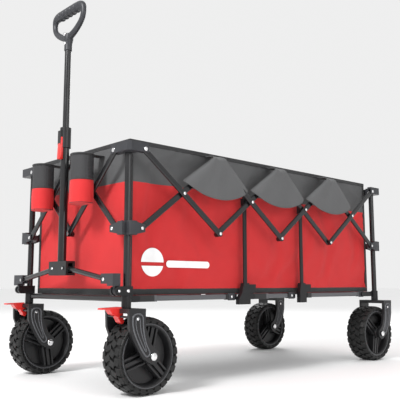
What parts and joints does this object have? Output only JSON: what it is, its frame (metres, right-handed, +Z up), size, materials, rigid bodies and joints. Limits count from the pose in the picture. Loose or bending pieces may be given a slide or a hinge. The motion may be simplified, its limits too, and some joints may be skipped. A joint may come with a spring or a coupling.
{
  "type": "folding camp wagon",
  "caption": "Long folding camp wagon with a scissor-link frame, fabric tub, swivel front casters, foot brakes and a telescoping pull handle.",
  "frame": {"origin": "on the ground, at the middle of the whole wagon's box", "axes": "+X towards the rear, away from the pull handle; +Y to the left side; +Z up"},
  "size_m": [1.3454, 0.655, 1.142],
  "materials": {
    "frame_black": "satin powder coat",
    "bracket_grey": "moulded, satin",
    "rivet_steel": "domed, bright",
    "tub_fabric": "coated canvas weave",
    "flap_fabric": "coated canvas weave",
    "cup_fabric": "mesh and canvas",
    "tread_rubber": "moulded tread",
    "rim_plastic": "moulded",
    "brake_red": "glossy"
  },
  "bodies": {
    "root": {"front_posts": "frame_black", "front_sleeves": "frame_black", "front_top_brackets": "bracket_grey", "front_mid_brackets": "bracket_grey", "front_links": "frame_black", "front_rivets": "rivet_steel", "front_bottom_rail": "frame_black", "handle_hinge_blocks": "bracket_grey", "front_wall": "tub_fabric", "side_walls": "tub_fabric", "tub_floor": "tub_fabric", "side_flaps": "flap_fabric", "cup_holders": "cup_fabric"},
    "rear_frame": {"rear_posts": "frame_black", "rear_sleeves": "frame_black", "rear_top_brackets": "bracket_grey", "rear_mid_brackets": "bracket_grey", "rear_links": "frame_black", "rear_rivets": "rivet_steel", "rear_bottom_rail": "frame_black", "rear_wall": "tub_fabric", "rear_forks": "bracket_grey"},
    "handle": {"handle_yoke": "bracket_grey", "handle_arms": "frame_black", "handle_corner_brackets": "bracket_grey", "handle_lower_tube": "frame_black", "handle_lock_collar": "bracket_grey"},
    "handle_upper": {"handle_upper_tube": "frame_black", "handle_grip": "bracket_grey"},
    "front_slider": {"front_sliders": "bracket_grey"},
    "rear_slider": {"rear_sliders": "bracket_grey"},
    "collar_2": {"collar_2": "bracket_grey"},
    "collar_3": {"collar_3": "bracket_grey"},
    "strut_2": {"strut_2": "frame_black"},
    "strut_3": {"strut_3": "frame_black"},
    "bottom_rail_1": {"bottom_rail_1": "frame_black"},
    "bottom_rail_2": {"bottom_rail_2": "frame_black"},
    "bottom_rail_3": {"bottom_rail_3": "frame_black"},
    "link_a1": {"link_a1": "frame_black"},
    "link_a2": {"link_a2": "frame_black"},
    "link_a3": {"link_a3": "frame_black"},
    "link_a4": {"link_a4": "frame_black"},
    "link_b1": {"link_b1": "frame_black"},
    "link_b2": {"link_b2": "frame_black"},
    "link_b3": {"link_b3": "frame_black"},
    "link_b4": {"link_b4": "frame_black"},
    "caster_right": {"front_fork_right": "bracket_grey", "front_axle_right": "rivet_steel"},
    "brake_right": {"brake_pedal_right": "brake_red"},
    "front_wheel_right": {"front_tyre_right": "tread_rubber", "front_rim_right": "rim_plastic"},
    "rear_wheel_right": {"rear_tyre_right": "tread_rubber", "rear_rim_right": "rim_plastic"},
    "caster_left": {"front_fork_left": "bracket_grey", "front_axle_left": "rivet_steel"},
    "brake_left": {"brake_pedal_left": "brake_red"},
    "front_wheel_left": {"front_tyre_left": "tread_rubber", "front_rim_left": "rim_plastic"},
    "rear_wheel_left": {"rear_tyre_left": "tread_rubber", "rear_rim_left": "rim_plastic"}
  },
  "joints": [
    {"name": "fold", "type": "hinge", "parent": "root", "child": "link_a1", "pos_m": [-0.55975, 0, 0.654], "axis": [0, 1, 0], "range_deg": [0, 42], "deforming": ["side_walls", "tub_floor", "side_flaps"]},
    {"name": "lower_joint_1", "type": "hinge", "parent": "link_a1", "child": "link_a2", "pos_m": [-0.27325, 0, 0.438], "axis": [0, 1, 0], "range_deg": [-84, 0]},
    {"name": "upper_joint_2", "type": "hinge", "parent": "link_a2", "child": "link_a3", "pos_m": [0.01325, 0, 0.654], "axis": [0, 1, 0], "range_deg": [0, 84]},
    {"name": "lower_joint_3", "type": "hinge", "parent": "link_a3", "child": "link_a4", "pos_m": [0.29975, 0, 0.438], "axis": [0, 1, 0], "range_deg": [-84, 0]},
    {"name": "rear_top_joint", "type": "hinge", "parent": "link_a4", "child": "rear_frame", "pos_m": [0.58625, 0, 0.654], "axis": [0, 1, 0], "range_deg": [0, 42]},
    {"name": "crossing_1", "type": "hinge", "parent": "link_a1", "child": "link_b1", "pos_m": [-0.4165, 0, 0.546], "axis": [0, 1, 0], "range_deg": [-84, 0]},
    {"name": "crossing_2", "type": "hinge", "parent": "link_a2", "child": "link_b2", "pos_m": [-0.13, 0, 0.546], "axis": [0, 1, 0], "range_deg": [0, 84]},
    {"name": "crossing_3", "type": "hinge", "parent": "link_a3", "child": "link_b3", "pos_m": [0.1565, 0, 0.546], "axis": [0, 1, 0], "range_deg": [-84, 0]},
    {"name": "crossing_4", "type": "hinge", "parent": "link_a4", "child": "link_b4", "pos_m": [0.443, 0, 0.546], "axis": [0, 1, 0], "range_deg": [0, 84]},
    {"name": "front_slider_joint", "type": "hinge", "parent": "link_b1", "child": "front_slider", "pos_m": [-0.55975, 0, 0.438], "axis": [0, 1, 0], "range_deg": [0, 42]},
    {"name": "rear_slider_joint", "type": "hinge", "parent": "link_b4", "child": "rear_slider", "pos_m": [0.58625, 0, 0.438], "axis": [0, 1, 0], "range_deg": [-42, 0]},
    {"name": "collar_2_joint", "type": "hinge", "parent": "link_a2", "child": "collar_2", "pos_m": [-0.13, 0, 0.546], "axis": [0, 1, 0], "range_deg": [0, 42]},
    {"name": "collar_3_joint", "type": "hinge", "parent": "link_a3", "child": "collar_3", "pos_m": [0.1565, 0, 0.546], "axis": [0, 1, 0], "range_deg": [-42, 0]},
    {"name": "strut_2_slide", "type": "slide", "parent": "collar_2", "child": "strut_2", "axis": [0, 0, 1], "range_m": [0, 0.06811]},
    {"name": "strut_3_slide", "type": "slide", "parent": "collar_3", "child": "strut_3", "axis": [0, 0, 1], "range_m": [0, 0.06811]},
    {"name": "rail_1_hinge", "type": "hinge", "parent": "root", "child": "bottom_rail_1", "pos_m": [-0.55025, 0, 0.25], "axis": [0, 1, 0], "range_deg": [-85, 0]},
    {"name": "rail_2_hinge", "type": "hinge", "parent": "strut_2", "child": "bottom_rail_2", "pos_m": [-0.094, 0, 0.25], "axis": [0, 1, 0], "range_deg": [-85, 0]},
    {"name": "rail_3_hinge", "type": "hinge", "parent": "rear_frame", "child": "bottom_rail_3", "pos_m": [0.53625, 0, 0.25], "axis": [0, 1, 0], "range_deg": [0, 85]},
    {"name": "caster_right", "type": "hinge", "parent": "root", "child": "caster_right", "pos_m": [-0.58975, -0.269, 0.226], "axis": [0, 0, 1], "continuous": true},
    {"name": "front_wheel_right_spin", "type": "hinge", "parent": "caster_right", "child": "front_wheel_right", "pos_m": [-0.53975, -0.269, 0.1015], "axis": [0, 1, 0], "continuous": true},
    {"name": "brake_right", "type": "hinge", "parent": "caster_right", "child": "brake_right", "pos_m": [-0.61475, -0.269, 0.205], "axis": [0, 1, 0], "range_deg": [-12, 0]},
    {"name": "rear_wheel_right_spin", "type": "hinge", "parent": "rear_frame", "child": "rear_wheel_right", "pos_m": [0.57125, -0.269, 0.1015], "axis": [0, 1, 0], "continuous": true},
    {"name": "caster_left", "type": "hinge", "parent": "root", "child": "caster_left", "pos_m": [-0.58975, 0.269, 0.226], "axis": [0, 0, 1], "continuous": true},
    {"name": "front_wheel_left_spin", "type": "hinge", "parent": "caster_left", "child": "front_wheel_left", "pos_m": [-0.53975, 0.269, 0.1015], "axis": [0, 1, 0], "continuous": true},
    {"name": "brake_left", "type": "hinge", "parent": "caster_left", "child": "brake_left", "pos_m": [-0.61475, 0.269, 0.205], "axis": [0, 1, 0], "range_deg": [-12, 0]},
    {"name": "rear_wheel_left_spin", "type": "hinge", "parent": "rear_frame", "child": "rear_wheel_left", "pos_m": [0.57125, 0.269, 0.1015], "axis": [0, 1, 0], "continuous": true},
    {"name": "handle_swing", "type": "hinge", "parent": "root", "child": "handle", "pos_m": [-0.62275, 0, 0.271], "axis": [0, -1, 0], "range_deg": [0, 95]},
    {"name": "handle_slide", "type": "slide", "parent": "handle", "child": "handle_upper", "axis": [0, 0, 1], "range_m": [-0.24, 0]}
  ],
  "couplings": [
    {"joint": "lower_joint_1", "follows": "fold", "ratio": -2},
    {"joint": "upper_joint_2", "follows": "fold", "ratio": 2},
    {"joint": "lower_joint_3", "follows": "fold", "ratio": -2},
    {"joint": "rear_top_joint", "follows": "fold", "ratio": 1},
    {"joint": "crossing_1", "follows": "fold", "ratio": -2},
    {"joint": "crossing_2", "follows": "fold", "ratio": 2},
    {"joint": "crossing_3", "follows": "fold", "ratio": -2},
    {"joint": "crossing_4", "follows": "fold", "ratio": 2},
    {"joint": "front_slider_joint", "follows": "fold", "ratio": 1},
    {"joint": "rear_slider_joint", "follows": "fold", "ratio": -1},
    {"joint": "collar_2_joint", "follows": "fold", "ratio": 1},
    {"joint": "collar_3_joint", "follows": "fold", "ratio": -1},
    {"joint": "strut_2_slide", "follows": "fold", "m_per_rad": 0.09292},
    {"joint": "strut_3_slide", "follows": "fold", "m_per_rad": 0.09292},
    {"joint": "rail_1_hinge", "follows": "fold", "ratio": -2.0238},
    {"joint": "rail_2_hinge", "follows": "fold", "ratio": -2.0238},
    {"joint": "rail_3_hinge", "follows": "fold", "ratio": 2.0238}
  ]
}
